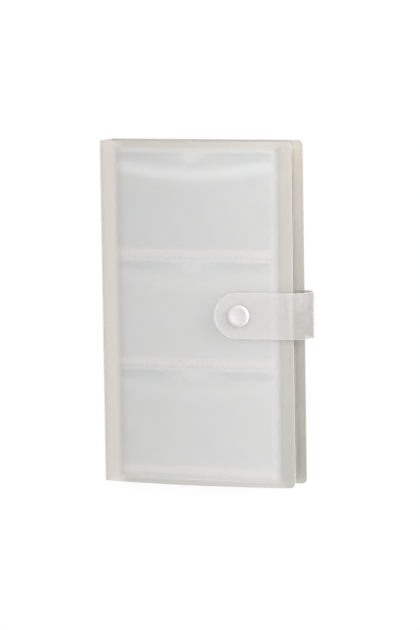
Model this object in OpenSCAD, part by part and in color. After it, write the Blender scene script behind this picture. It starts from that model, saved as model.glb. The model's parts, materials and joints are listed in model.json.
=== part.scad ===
// Business card book: a frosted sheet cover creased at the spine, a block of
// welded pocket leaves on an arched binding strip, and a clear strap that wraps
// the fore edge and closes on the front with a plastic press stud.
// The closed book lies on its back cover: X runs from spine to fore edge,
// Y from tail to head, and the origin is the middle of the back cover's outer face.

/* [Cards] */
// Width of the cards that the pockets take
card_w = 91; // [85:0.5:95]
// Height of the cards that the pockets take
card_h = 55; // [50:0.5:60]
// Spare width of a pocket over its card
pocket_spare_w = 1.5; // [0.5:0.1:3]
// Spare depth of a pocket over its card
pocket_spare_h = 0.5; // [0:0.1:2]
// Rows of pockets on each side of a leaf
row_count = 3; // [1:1:3]

/* [Leaves] */
// Number of pocket leaves
leaf_count = 10; // [6:2:10]
// Thickness of a leaf's middle sheet
base_t = 0.12; // [0.1:0.01:0.16]
// Thickness of a pocket film
film_t = 0.1; // [0.08:0.01:0.12]
// Slot between the middle sheet and an empty pocket's film
pocket_gap = 0.12; // [0.1:0.01:0.14]
// Width of the welds along a pocket's sides
seam_w = 1.8; // [1:0.1:3]
// Height of the weld band along a pocket's bottom
seal_h = 4.5; // [2:0.1:6]
// Open strip between a pocket's mouth and the weld above it
mouth_gap = 2; // [1:0.1:4]
// Break between a bottom weld and the side welds
seam_break = 0.2; // [0.1:0.05:0.5]
// Plain margin from the binding bead to the pockets
bind_margin = 4; // [3:0.1:8]
// Plain margin from the pockets to the leaf's free edge
free_margin = 4; // [2:0.1:8]
// Plain margin above and below the rows
end_margin = 0.5; // [0.2:0.1:3]
// Rounding of a leaf's free corners
leaf_corner_r = 3; // [1:0.5:5]
// Diameter of the thumb notch at a pocket's mouth
notch_d = 15.6; // [10:0.2:20]
// Height of the notch's centre above the mouth
notch_rise = 1.5; // [0:0.1:3]

/* [Binding] */
// Room between the binding strip's feet and the covers
arch_room = 1.1; // [1:0.05:1.6]
// Wall of the arched binding strip
arch_t = 0.6; // [0.4:0.05:1]
// Angle around the arch from the first leaf to the last
leaf_spread = 144; // [140:1:148]
// Radius of the weld bead along a leaf's binding edge
bead_r = 0.25; // [0.2:0.01:0.3]
// Running gap between a bead and the binding strip
bead_gap = 0.05; // [0.02:0.01:0.1]

/* [Covers] */
// Thickness of the closed book at the spine, outer face to outer face
book_t = 19.3; // [19:0.1:24]
// Thickness of the cover sheet
sheet_t = 0.8; // [0.5:0.05:0.9]
// How far the covers stand past the leaves at head and tail
cover_over = 4; // [1:0.5:8]
// How far the covers stand past the longest leaf at the fore edge
fore_over = 3; // [2:0.5:8]
// Rounding of the covers' fore-edge corners
corner_r = 3; // [1:0.5:6]
// How far the closed front cover bows outward
bow = 5; // [2:0.5:6]
// Gap between a crease's bead and the panel that folds about it
crease_gap = 0.08; // [0.05:0.01:0.15]

/* [Strap] */
// Width of the strap
strap_w = 26; // [20:0.2:28]
// Thickness of the strap
strap_t = 0.8; // [0.5:0.05:0.85]
// Length of the strap that is welded inside the back cover
root_l = 30; // [15:1:45]
// Rounding of the welded end's corners
root_corner_r = 3; // [1:0.5:6]
// How far the strap's last bend stands past the front cover's fore edge
strap_reach = 1.2; // [0.8:0.1:4]
// Number of bends that carry the strap round the fore edge
bend_count = 6; // [6:1:6]
// Distance from the stud's centre to the strap's tip
tip_l = 14.4; // [14:0.2:24]

/* [Press stud] */
// Distance from the front cover's fore edge to the stud's centre
stud_inset = 30.1; // [20:0.1:45]
// Diameter of the stud's caps
cap_d = 12.4; // [11:0.1:16]
// Height of a cap
cap_h = 1.7; // [1.2:0.1:2.4]
// Rounding of a cap's rim
cap_edge = 1.1; // [0.4:0.1:1.1]
// Depth of the dish in a cap's top
dish_h = 0.25; // [0.1:0.05:0.4]
// Diameter of the dish in a cap's top
dish_d = 8.6; // [6:0.2:9]
// Diameter of a cap's rivet shank
shank_d = 3.5; // [2.5:0.1:3.7]
// Gap round a shank in each hole that it passes through
shank_gap = 0.1; // [0.05:0.05:0.2]
// Diameter of the stud's and the socket's flanges
flange_d = 10.6; // [9:0.1:11]
// Thickness of the stud's flange
flange_h = 0.6; // [0.4:0.05:1]
// Diameter of the stud's head
head_d = 5.6; // [5.2:0.1:6.4]
// Height of the stud's head
head_h = 0.7; // [0.5:0.05:1]
// How far the stud's neck is set in from its head
neck_in = 0.35; // [0.25:0.05:0.4]
// Height of the stud's neck
neck_h = 0.7; // [0.6:0.05:1]
// How far the socket's lip reaches in under the head
lip_bite = 0.18; // [0.05:0.01:0.2]
// Height of the socket's lip
lip_h = 0.45; // [0.3:0.05:0.5]
// Gap between the head and the socket around it
socket_gap = 0.15; // [0.1:0.05:0.3]
// Gap between the socket's foot and the stud's flange
foot_gap = 0.1; // [0.05:0.05:0.2]
// Thickness of the socket's top
web_h = 0.6; // [0.4:0.05:1]
// Length of the strap shank's end below the socket's top
shank_end = 0.2; // [0.1:0.05:0.25]
// Space between the stud's head and the strap shank
shank_room = 0.2; // [0.1:0.05:0.4]
// Play between the inner cap's rim and the bowed cover
seat_play = 0.03; // [0.02:0.01:0.1]

/* [Hidden] */
$fn = 96;
// Steps round the wide arc of the bowed cover, which is drawn as a full circle
bow_fn = 1440;
// How far a cutting shape runs past what it cuts
cut = 1;

// Leaf
pocket_w = card_w + pocket_spare_w;
row_pitch = card_h + pocket_spare_h + seal_h + mouth_gap;
rows_h = row_count * row_pitch;
block_w = pocket_w + 2 * seam_w;
leaf_l = bind_margin + block_w + free_margin;
leaf_h = rows_h + 2 * end_margin;

// Binding
arch_r = book_t / 2 - sheet_t - arch_room;
axis_r = arch_r + bead_gap + bead_r;
leaf_step = leaf_spread / (leaf_count - 1);

// Covers
cover_w = sheet_t + axis_r + leaf_l + fore_over;
cover_h = leaf_h + 2 * cover_over;
fore_x = cover_w / 2;
spine_x = -cover_w / 2;
spine_in = spine_x + sheet_t;
crease_x = spine_x + sheet_t / 2;
rear_z = sheet_t / 2;
front_z = book_t - sheet_t / 2;
panel_x = crease_x + sheet_t / 2 + crease_gap;

// The bowed front cover is an arc about an axis far below the book
arc_c = (fore_x - panel_x) / 2;
arc_r = (arc_c * arc_c + bow * bow) / (2 * bow);
arc_x = (fore_x + panel_x) / 2;
arc_z = front_z + bow - arc_r;

// The stud stands square to the bowed cover, on its outer face
stud_tilt = asin((fore_x - stud_inset - arc_x) / arc_r);
stud_x = arc_x + (arc_r + sheet_t / 2) * sin(stud_tilt);
stud_z = arc_z + (arc_r + sheet_t / 2) * cos(stud_tilt);
socket_h = neck_h + head_h + shank_room + shank_end + web_h + flange_h;
strap_gap = socket_h;
strap_mid = strap_gap + strap_t / 2;

// The strap's bends: the last lies past the fore edge in the strap's own plane,
// and the first lies in the plane of the back cover's inner face
last_bend_u = (fore_x + strap_reach - stud_x - strap_mid * sin(stud_tilt)) / cos(stud_tilt);
last_bend_x = fore_x + strap_reach;
last_bend_z = stud_z + strap_mid * cos(stud_tilt) - last_bend_u * sin(stud_tilt);
first_bend_z = sheet_t + strap_t / 2;
bend_turn = (180 - stud_tilt) / bend_count;
function sum(v, i = 0) = i < len(v) ? v[i] + sum(v, i + 1) : 0;
function run(k) = sum([for (m = [1:1:k - 1]) cos(m * bend_turn)]);
function rise(k) = sum([for (m = [1:1:k - 1]) sin(m * bend_turn)]);
link_l = (last_bend_z - first_bend_z) / rise(bend_count);
first_bend_x = last_bend_x - link_l * run(bend_count);
function bend_x(k) = first_bend_x + link_l * run(k);
function bend_z(k) = first_bend_z + link_l * rise(k);
link_start = strap_t / 2 + crease_gap;

cap_r = cap_d / 2;
// The inner cap's flat face meets the hollow side of the bow at its rim
bow_in_r = arc_r - sheet_t / 2;
seat_gap = bow_in_r - sqrt(bow_in_r * bow_in_r - cap_r * cap_r) + seat_play;
dish_r = (dish_d * dish_d / 4 + dish_h * dish_h) / (2 * dish_h);
shank_r = shank_d / 2;
hole_r = shank_r + shank_gap;
head_r = head_d / 2;

function leaf_angle(i) = (i - (leaf_count + 1) / 2) * leaf_step;
function two_digits(i) = str(i < 10 ? "0" : "", i);

frosted = [0.86, 0.87, 0.86, 0.75];
clear = [0.88, 0.90, 0.90, 0.6];
film = [0.90, 0.92, 0.94, 0.5];
white = [0.95, 0.93, 0.92];

// A profile drawn in X and Z, drawn out along Y
module along_y(length) {
    rotate([90, 0, 0]) linear_extrude(length, center = true) children();
}

// A panel's outline, from x0 to x1, with the corners at x1 rounded
module panel_outline(x0, x1, h, r) {
    translate([x0, -h / 2]) square([x1 - x0 - r, h]);
    translate([x1 - 2 * r, -h / 2 + r]) square([2 * r, h - 2 * r]);
    for (side = [-1, 1]) translate([x1 - r, side * (h / 2 - r)]) circle(r);
}

// A strip of sheet in profile from x0 to x1, ending in a bead about x1
module strip_profile(x0, x1, t) {
    translate([x0, -t / 2]) square([x1 - x0, t]);
    translate([x1, 0]) circle(t / 2);
}

module at_stud() {
    translate([stud_x, 0, stud_z]) rotate([0, stud_tilt, 0]) children();
}

module at_leaf(i) {
    translate([spine_in + axis_r * cos(leaf_angle(i)), 0, book_t / 2 + axis_r * sin(leaf_angle(i))])
        children();
}

module back_cover() {
    color(frosted) linear_extrude(sheet_t) panel_outline(panel_x, fore_x, cover_h, corner_r);
}

module spine() {
    color(frosted) along_y(cover_h) {
        translate([spine_x, rear_z]) square([sheet_t, front_z - rear_z]);
        for (z = [rear_z, front_z]) translate([crease_x, z]) circle(sheet_t / 2);
    }
}

// An arch with its two feet on the spine: the leaves' beads lie around its crown
module binding_strip() {
    color(clear) along_y(leaf_h) translate([spine_in, book_t / 2]) intersection() {
        difference() {
            circle(arch_r);
            circle(arch_r - arch_t);
        }
        translate([0, -arch_r - cut]) square([arch_r + cut, 2 * (arch_r + cut)]);
    }
}

module front_cover() {
    color(frosted) difference() {
        intersection() {
            along_y(cover_h + 2 * cut) translate([arc_x, arc_z]) difference() {
                circle(arc_r + sheet_t / 2, $fn = bow_fn);
                circle(arc_r - sheet_t / 2, $fn = bow_fn);
            }
            translate([0, 0, front_z - sheet_t]) linear_extrude(bow + 2 * sheet_t)
                panel_outline(panel_x, fore_x, cover_h, corner_r);
        }
        at_stud() translate([0, 0, -sheet_t - cut]) cylinder(r = hole_r, h = sheet_t + 2 * cut);
    }
}

module leaf_sheet(i) {
    color(film) at_leaf(i) {
        translate([0, 0, -base_t / 2]) linear_extrude(base_t) panel_outline(0, leaf_l, leaf_h, leaf_corner_r);
        along_y(leaf_h) circle(bead_r);
    }
}

// One pocket's film: its bottom at y = 0, its mouth at the top with a thumb notch
module pocket_outline() {
    film_h = row_pitch - mouth_gap;
    difference() {
        square([block_w, film_h]);
        translate([block_w / 2, film_h + notch_rise]) circle(d = notch_d);
    }
}

module leaf_pockets(i) {
    color(film) at_leaf(i) for (side = [0, 1]) mirror([0, 0, side]) for (row = [0:row_count - 1])
        translate([bind_margin, -rows_h / 2 + row * row_pitch, base_t / 2 + pocket_gap])
            linear_extrude(film_t) pocket_outline();
}

// The welds that hold the films to the sheet: two long side welds and a band under each pocket
module leaf_welds(i) {
    side_h = rows_h - mouth_gap;
    color(film) at_leaf(i) for (side = [0, 1]) mirror([0, 0, side])
        translate([bind_margin, -rows_h / 2, base_t / 2]) {
            for (x = [0, block_w - seam_w]) translate([x, 0, 0]) cube([seam_w, side_h, pocket_gap]);
            for (row = [0:row_count - 1]) translate([seam_w + seam_break, row * row_pitch, 0])
                cube([pocket_w - 2 * seam_break, seal_h, pocket_gap]);
        }
}

module strap_root() {
    color(clear) translate([0, 0, first_bend_z]) intersection() {
        along_y(strap_w) strip_profile(fore_x - root_l, first_bend_x, strap_t);
        translate([0, 0, -strap_t]) linear_extrude(2 * strap_t) mirror([1, 0])
            panel_outline(-first_bend_x - strap_t, root_l - fore_x, strap_w, root_corner_r);
    }
}

module strap_bend(k) {
    color(clear) along_y(strap_w) translate([bend_x(k), bend_z(k)]) rotate(k * bend_turn)
        strip_profile(link_start, link_l, strap_t);
}

module strap_tongue() {
    color(clear) at_stud() translate([0, 0, strap_gap]) linear_extrude(strap_t) difference() {
        union() {
            translate([strap_w / 2 - tip_l, -strap_w / 2])
                square([last_bend_u - link_start - strap_w / 2 + tip_l, strap_w]);
            translate([strap_w / 2 - tip_l, 0]) circle(strap_w / 2);
        }
        circle(hole_r);
    }
}

// A cap in profile: a rounded rim round a shallow dish
module cap_profile() {
    difference() {
        intersection() {
            square([cap_r, cap_h]);
            union() {
                square([cap_r - cap_edge, cap_h]);
                square([cap_r, cap_h - cap_edge]);
                translate([cap_r - cap_edge, cap_h - cap_edge]) circle(cap_edge);
            }
        }
        translate([0, cap_h + dish_r - dish_h]) circle(dish_r);
    }
}

module snap_cap() {
    shank_l = strap_t + web_h + shank_end;
    color(white) at_stud() translate([0, 0, strap_gap + strap_t]) {
        rotate_extrude() cap_profile();
        translate([0, 0, -shank_l]) cylinder(r = shank_r, h = shank_l + cap_h / 2);
    }
}

// A cup with a lip that snaps in under the stud's head
module snap_socket() {
    foot_z = flange_h + foot_gap;
    color(white) at_stud() difference() {
        translate([0, 0, foot_z]) cylinder(d = flange_d, h = strap_gap - foot_z);
        translate([0, 0, foot_z - cut]) cylinder(r = head_r - lip_bite, h = lip_h + 2 * cut);
        translate([0, 0, foot_z + lip_h])
            cylinder(r = head_r + socket_gap, h = strap_gap - foot_z - lip_h - web_h);
        cylinder(r = hole_r, h = strap_gap + cut);
    }
}

// A flange with a necked head, hollow for the rivet
module snap_stud() {
    color(white) at_stud() difference() {
        union() {
            cylinder(d = flange_d, h = flange_h);
            cylinder(r = head_r - neck_in, h = flange_h + neck_h);
            translate([0, 0, flange_h + neck_h]) cylinder(r = head_r, h = head_h);
        }
        translate([0, 0, -cut]) cylinder(r = hole_r, h = flange_h + neck_h + head_h + 2 * cut);
    }
}

module snap_rivet() {
    shank_l = seat_gap + sheet_t + flange_h + neck_h + head_h;
    color(white) at_stud() translate([0, 0, -sheet_t - seat_gap]) {
        mirror([0, 0, 1]) rotate_extrude() cap_profile();
        translate([0, 0, -cap_h / 2]) cylinder(r = shank_r, h = shank_l + cap_h / 2);
    }
}

back_cover();
spine();
binding_strip();
front_cover();
for (i = [1:leaf_count]) {
    leaf_sheet(i);
    leaf_pockets(i);
    leaf_welds(i);
}
strap_root();
for (k = [1:bend_count - 1]) {
    strap_bend(k);
}
strap_tongue();
snap_cap();
snap_socket();
snap_stud();
snap_rivet();
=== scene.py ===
# %% [markdown]
# # A translucent business card book
# The book lies closed on its back cover. A frosted sheet is creased twice to make back, spine and front,
# and the front bows a little. Clear pocket leaves show through it. A clear strap wraps the fore edge and
# closes with a round press stud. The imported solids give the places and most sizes. This file adds what the
# eye needs: soft edges, the strap's smooth bend, the weld marks, and finishes that let light through.

# %% Load the frame
import json
import math

import bmesh
import bpy
from mathutils import Matrix, Vector

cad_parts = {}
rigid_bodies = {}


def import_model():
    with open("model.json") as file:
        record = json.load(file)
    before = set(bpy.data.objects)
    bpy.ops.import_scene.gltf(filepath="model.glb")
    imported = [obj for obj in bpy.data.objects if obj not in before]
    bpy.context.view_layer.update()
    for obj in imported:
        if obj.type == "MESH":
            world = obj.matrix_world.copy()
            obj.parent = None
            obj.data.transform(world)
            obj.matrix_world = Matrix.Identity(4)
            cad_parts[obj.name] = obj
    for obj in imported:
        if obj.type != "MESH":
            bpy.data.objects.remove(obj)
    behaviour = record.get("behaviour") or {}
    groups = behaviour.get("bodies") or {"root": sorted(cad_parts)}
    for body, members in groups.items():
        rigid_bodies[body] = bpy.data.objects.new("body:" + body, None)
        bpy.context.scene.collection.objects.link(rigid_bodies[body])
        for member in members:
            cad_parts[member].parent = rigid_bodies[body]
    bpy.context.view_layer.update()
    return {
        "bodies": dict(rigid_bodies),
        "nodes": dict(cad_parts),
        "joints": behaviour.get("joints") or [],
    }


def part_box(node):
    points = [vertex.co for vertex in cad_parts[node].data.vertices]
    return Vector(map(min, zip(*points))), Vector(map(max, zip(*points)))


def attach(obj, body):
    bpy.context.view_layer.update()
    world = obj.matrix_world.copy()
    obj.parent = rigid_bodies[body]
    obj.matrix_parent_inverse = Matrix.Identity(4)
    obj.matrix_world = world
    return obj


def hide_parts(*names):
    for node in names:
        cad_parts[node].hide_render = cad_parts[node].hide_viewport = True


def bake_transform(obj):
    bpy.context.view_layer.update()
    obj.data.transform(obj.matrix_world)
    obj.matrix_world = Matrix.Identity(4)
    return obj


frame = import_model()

MM = 0.001
nodes = frame["nodes"]
hinge_at = {j["name"]: Vector(j["pos_m"]) for j in frame["joints"]}
print("loaded", len(nodes), "solids and", len(hinge_at), "hinges")

# %% [markdown]
# ## Sizes of the covers
# The covers set the scale for everything else. Their sizes could be typed in again, but then the looks would
# drift from the part when it changes, so they are measured from the boxes of the solids.


# %% Sizes of the covers
def corners(node):
    """The lowest and the highest corner of a solid's box."""
    return [Vector(c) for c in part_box(node)]


back_lo, back_hi = corners("back_cover")
front_lo, front_hi = corners("front_cover")
SHEET_T = back_hi.z - back_lo.z
COVER_H = back_hi.y - back_lo.y
FORE_X = back_hi.x
print(f"cover sheet {SHEET_T / MM:.1f} mm thick and {COVER_H / MM:.1f} mm high")

# %% [markdown]
# ## Camera
# The photograph looks at the front cover from far off, a little from the fore edge and a little from the
# head. A camera could be moved by hand until the picture looks right. Angles, a distance and a focal length
# in pixels say the same in numbers, and put the covers' corners close to where the photograph has them.

# %% Direction of the view
VIEW_AZIMUTH, VIEW_ELEVATION, VIEW_ROLL = 21.63, 5.94, -0.87


def view_axes():
    """The picture's right and up, and the way from the book to the camera."""
    az, el = math.radians(VIEW_AZIMUTH), math.radians(VIEW_ELEVATION)
    towards = Vector((math.sin(az) * math.cos(el), math.sin(el), math.cos(az) * math.cos(el)))
    right = Vector((0, 1, 0)).cross(towards).normalized()
    roll = Matrix.Rotation(math.radians(VIEW_ROLL), 3, towards)
    return roll @ right, roll @ towards.cross(right), towards


right, up, towards = view_axes()
print("the camera looks from", [round(c, 3) for c in towards])

# %% Camera
PHOTO_W, PHOTO_H = 420, 630
AIM_PX = (209.4, 310.1)
FOCAL_PX = 3860
VIEW_DISTANCE = 2.2
SENSOR_H = 36.0
per_px = VIEW_DISTANCE / FOCAL_PX
aim = right * (PHOTO_W / 2 - AIM_PX[0]) * per_px - up * (PHOTO_H / 2 - AIM_PX[1]) * per_px
camera = bpy.data.objects.new("camera", bpy.data.cameras.new("camera"))
camera.data.sensor_fit = "VERTICAL"
camera.data.sensor_height = SENSOR_H
camera.data.lens = FOCAL_PX / PHOTO_H * SENSOR_H
camera.data.clip_end = 20
place = Matrix((right, up, towards)).transposed().to_4x4()
place.translation = towards * VIEW_DISTANCE + aim
camera.matrix_world = place
bpy.context.collection.objects.link(camera)
bpy.context.scene.camera = camera
print(f"camera {VIEW_DISTANCE} m away, lens {camera.data.lens:.1f} mm")

# %% [markdown]
# ## Helpers for finishes
# A finish is a node tree round one Principled shader. Painted images could carry the tints, but a tint
# worked out from the place of a point, in metres, needs no image and stays sharp. The helpers add nodes,
# do sums and give what every plastic has: a soft mottle, a slow drift of the gloss and a fine grain.


# %% Add a node
def feed(tree, value, socket):
    """Links an input to another node, or writes a number, a vector or a colour into it."""
    if isinstance(value, bpy.types.NodeSocket):
        tree.links.new(value, socket)
    else:
        socket.default_value = (*value, 1) if socket.type == "RGBA" else value


def added(tree, kind, inputs, **settings):
    """The outputs of a new node, with its settings made and its inputs fed."""
    node = tree.nodes.new(kind)
    for name, value in settings.items():
        setattr(node, name, value)
    for key, value in inputs.items():
        feed(tree, value, node.inputs[key])
    return node.outputs


def finish(name):
    """A new material, its node tree and its shader."""
    mat = bpy.data.materials.new(name)
    mat.use_nodes = True
    return mat, mat.node_tree, mat.node_tree.nodes["Principled BSDF"]


print("helpers:", feed.__name__, added.__name__, finish.__name__)

# %% Sums and blends
COLOUR_A, COLOUR_B, COLOUR_OUT = 6, 7, 2


def sum_of(tree, operation, *values):
    """One step of arithmetic on numbers or on the outputs of nodes."""
    return added(tree, "ShaderNodeMath", dict(enumerate(values)), operation=operation)["Value"]


def ranged(tree, value, low, high, to_low, to_high):
    """A smooth step from to_low, where the value is low, to to_high."""
    ends = {"Value": value, "From Min": low, "From Max": high, "To Min": to_low, "To Max": to_high}
    return added(tree, "ShaderNodeMapRange", ends, interpolation_type="SMOOTHSTEP")["Result"]


def mixed(tree, amount, first, second):
    """A colour between two others, through the sockets of a Mix node that are meant for colours."""
    ends = {"Factor": amount, COLOUR_A: first, COLOUR_B: second}
    return added(tree, "ShaderNodeMix", ends, data_type="RGBA")[COLOUR_OUT]


def along(tree, axis, space="Object"):
    """One coordinate of a point in the named space."""
    point = added(tree, "ShaderNodeTexCoord", {})[space]
    return added(tree, "ShaderNodeSeparateXYZ", {"Vector": point})[axis]


print("helpers:", sum_of.__name__, ranged.__name__, mixed.__name__, along.__name__)

# %% Mottle, gloss and grain
MOTTLE_LOW, MOTTLE_HIGH = 0.3, 0.7
DRIFT_LOW, DRIFT_HIGH = 0.35, 0.65
GRAIN_DETAIL = 3


def noise(tree, size, detail=2):
    """A noise whose blotches are about size metres wide."""
    point = added(tree, "ShaderNodeTexCoord", {})["Object"]
    ends = {"Vector": point, "Scale": 1 / size, "Detail": detail}
    return added(tree, "ShaderNodeTexNoise", ends)["Fac"]


def mottled(tree, size, first, second, most=1):
    """The first colour with soft blotches of the second."""
    drift = ranged(tree, noise(tree, size), MOTTLE_LOW, MOTTLE_HIGH, 0, most)
    return mixed(tree, drift, first, second)


def gloss(tree, shader, size, smooth, rough):
    drift = ranged(tree, noise(tree, size), DRIFT_LOW, DRIFT_HIGH, smooth, rough)
    feed(tree, drift, shader.inputs["Roughness"])


def grain(tree, shader, size, depth, strength):
    ends = {"Strength": strength, "Distance": depth, "Height": noise(tree, size, GRAIN_DETAIL)}
    feed(tree, added(tree, "ShaderNodeBump", ends)["Normal"], shader.inputs["Normal"])


print("helpers:", noise.__name__, mottled.__name__, gloss.__name__, grain.__name__)


# %% Colour and cover
def one_face(cover):
    """Both faces of a sheet are crossed, so each takes the root of what the sheet lets through."""
    return 1 - math.sqrt(1 - cover)


def coat(tree, shader, colour, alpha=1):
    feed(tree, colour, shader.inputs["Base Color"])
    feed(tree, alpha, shader.inputs["Alpha"])


print(f"each face of a sheet that covers a half has alpha {one_face(0.5):.2f}")

# %% [markdown]
# ## Frosted front
# The front cover is a milky sheet that lets the leaves show as pale shapes. Along its free edges and beside
# the spine it looks denser and warmer. The darker tone along its free edges and its fore margin, darker
# still towards the tail, is painted shade. Scattering inside the sheet would be closest to the real plastic,
# but over ten leaves it is slow and grainy. So the sheet covers by its alpha, with more milk at the edges,
# and its tint changes with the place.

# %% Edges of a cover
RIM_W = 5.0 * MM
SPINE_BAND = 5.5 * MM


def free_edges(tree):
    """1 along the head, the tail and the fore edge, and 0 where the leaves lie under the cover."""
    from_end = sum_of(tree, "SUBTRACT", COVER_H / 2, sum_of(tree, "ABSOLUTE", along(tree, "Y")))
    end_edge = ranged(tree, from_end, RIM_W * 0.5, RIM_W, 1, 0)
    fore_edge = ranged(tree, along(tree, "X"), FORE_X - RIM_W * 1.9, FORE_X - RIM_W * 0.6, 0, 1)
    return sum_of(tree, "MAXIMUM", end_edge, fore_edge)


def spine_edge(tree, bands):
    """1 beside the spine, fading to 0 so many bands away from it."""
    start, end = (front_lo.x + SPINE_BAND * n for n in (1, bands))
    return ranged(tree, along(tree, "X"), start, end, 1, 0)


print(f"rims of {RIM_W / MM:.1f} mm and a spine band of {SPINE_BAND / MM:.1f} mm")

# %% Frosted front
FROST, FROST_COOL = (0.76, 0.755, 0.745), (0.745, 0.75, 0.75)
FROST_SPINE = (0.69, 0.65, 0.61)
# Painted shade for the rims and the fore margin, darker towards the tail.
RIM_SHADE_HEAD, RIM_SHADE_TAIL = (0.555, 0.535, 0.49), (0.50, 0.49, 0.46)
FORE_SHADE_HEAD, FORE_SHADE_TAIL = (0.51, 0.48, 0.437), (0.44, 0.43, 0.395)
MILK_MIDDLE, MILK_EDGE = 0.56, 0.93


def frosted_skin(tree, shader):
    gloss(tree, shader, 15 * MM, 0.38, 0.5)
    grain(tree, shader, 0.25 * MM, 0.02 * MM, 0.25)


def frosted_front():
    mat, tree, shader = finish("frosted_front")
    colour = mottled(tree, 22 * MM, FROST, FROST_COOL)
    edges = free_edges(tree)
    # Painted shade: the rims and the fore margin darken, more towards the tail.
    shade_fades_to_head = ranged(tree, along(tree, "Y"), -COVER_H / 2, COVER_H * 0.3, 0, 1)
    colour = mixed(tree, edges, colour, mixed(tree, shade_fades_to_head, RIM_SHADE_TAIL, RIM_SHADE_HEAD))
    fore_shade = ranged(tree, along(tree, "X"), FORE_X - RIM_W * 2.4, FORE_X - RIM_W * 0.5, 0, 1)
    colour = mixed(tree, fore_shade, colour, mixed(tree, shade_fades_to_head, FORE_SHADE_TAIL, FORE_SHADE_HEAD))
    colour = mixed(tree, spine_edge(tree, 3), colour, FROST_SPINE)
    dense = sum_of(tree, "MAXIMUM", edges, spine_edge(tree, 2.3))
    coat(tree, shader, colour, ranged(tree, dense, 0, 1, one_face(MILK_MIDDLE), one_face(MILK_EDGE)))
    frosted_skin(tree, shader)
    return mat


front_finish = frosted_front()
print(front_finish.name, "has", len(front_finish.node_tree.nodes), "nodes")

# %% [markdown]
# ## Frosted back
# Only a strip of the back cover's inner face shows past the front. Its colour carries painted light and
# shade: lighter and warmer towards the head, darker and greyer towards the tail where the front cover's
# shadow falls, and darker again at its ends and its fore edge. The front's finish could serve, but its edges
# are meant for what lies under the front, so the back has a finish of its own with the same skin.

# %% Frosted back
# Painted light and shade: lit towards the head, in the front cover's shadow towards the tail.
BACK_HEAD_LIT, BACK_TAIL_SHADED = (0.90, 0.805, 0.69), (0.47, 0.445, 0.385)
BACK_MOTTLE = (0.65, 0.61, 0.55)
# Painted shade at the cover's ends and at its fore edge.
BACK_END_SHADE, BACK_FORE_SHADE = (0.62, 0.615, 0.565), (0.36, 0.33, 0.30)
BACK_MILK = 0.85


def frosted_back():
    mat, tree, shader = finish("frosted_back")
    # Painted shadow of the front cover, deepest at the tail.
    shade_fades_to_head = ranged(tree, along(tree, "Y"), -COVER_H / 2, COVER_H / 2, 0, 1)
    colour = mixed(tree, shade_fades_to_head, BACK_TAIL_SHADED, BACK_HEAD_LIT)
    colour = mottled(tree, 25 * MM, colour, BACK_MOTTLE, 0.4)
    from_middle = sum_of(tree, "ABSOLUTE", along(tree, "Y"))
    # Painted shade at the ends and at the fore edge.
    end_shade = ranged(tree, from_middle, COVER_H / 2 - RIM_W, COVER_H / 2, 0, 1)
    colour = mixed(tree, end_shade, colour, BACK_END_SHADE)
    fore_shade = ranged(tree, along(tree, "X"), FORE_X - RIM_W, FORE_X, 0, 0.5)
    coat(tree, shader, mixed(tree, fore_shade, colour, BACK_FORE_SHADE), one_face(BACK_MILK))
    frosted_skin(tree, shader)
    return mat


back_finish = frosted_back()
print(back_finish.name, "has", len(back_finish.node_tree.nodes), "nodes")

# %% [markdown]
# ## Cut edges
# Light that enters a sheet comes out at its cut edge, which shows as a thin bright line. Emission could make
# it, but it would glow in the dark as well. So that light is painted as a pale tone into a plain opaque
# finish on the edge faces, which still follows the lamps, and the back cover's edge gets a dimmer painted
# light.


# %% Cut edges
def shade(colour, share):
    return tuple(c * share for c in colour)


def cut_edge(name, colour):
    mat, tree, shader = finish(name)
    coat(tree, shader, mottled(tree, 3 * MM, colour, shade(colour, 0.94)))
    gloss(tree, shader, 4 * MM, 0.3, 0.45)
    return mat


# Pale cut edges of the front cover and the strap: painted light.
cover_edge = cut_edge("cover_edge", (0.70, 0.685, 0.635))
# The back cover's cut edge gets a dimmer painted light.
back_edge = cut_edge("back_edge", (0.52, 0.50, 0.46))
strap_edge = cut_edge("strap_edge", (0.80, 0.79, 0.77))
print("edges:", cover_edge.name, back_edge.name, strap_edge.name)

# %% [markdown]
# ## Clear sheets
# The leaves, their welds and the binding strip are thin clear plastic. Glass would be the plain choice, but
# dozens of glass sheets in a stack turn dark, so these cover by alpha too. On a flat sheet the direction of
# a face tells the cut edges, which are made opaque and pale: painted light, for the light that would pass
# through the stack and leave at its edges. On the curved binding strip that test would fail, so it is left
# out.

# %% Painted light on cut edges
# Painted light on the cut edges of leaves and films.
LEAF_EDGE_LIGHT = (0.96, 0.925, 0.88)


def facing(tree):
    """1 on faces that look straight up or down, and 0 on those that look sideways."""
    return sum_of(tree, "ABSOLUTE", along(tree, "Z", "Normal"))


def light_painted_cut(tree, shader, colour, cover):
    """Gives a flat sheet its colour and cover, and cut edges that are not clear and are painted pale, a
    painted light.
    """
    side = ranged(tree, facing(tree), 0.3, 0.7, 1, 0)
    colour = mixed(tree, side, colour, LEAF_EDGE_LIGHT)
    coat(tree, shader, colour, ranged(tree, side, 0, 1, one_face(cover), 1))


print("colour of the leaves' cut edges:", LEAF_EDGE_LIGHT)


# %% Clear sheets
def clear_sheet(name, colour, cover, flat=True):
    mat, tree, shader = finish(name)
    tint = mottled(tree, 12 * MM, colour, shade(colour, 0.97))
    if flat:
        light_painted_cut(tree, shader, tint, cover)
    else:
        coat(tree, shader, tint, one_face(cover))
    gloss(tree, shader, 9 * MM, 0.2, 0.32)
    grain(tree, shader, 0.6 * MM, 0.01 * MM, 0.15)
    return mat


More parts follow.
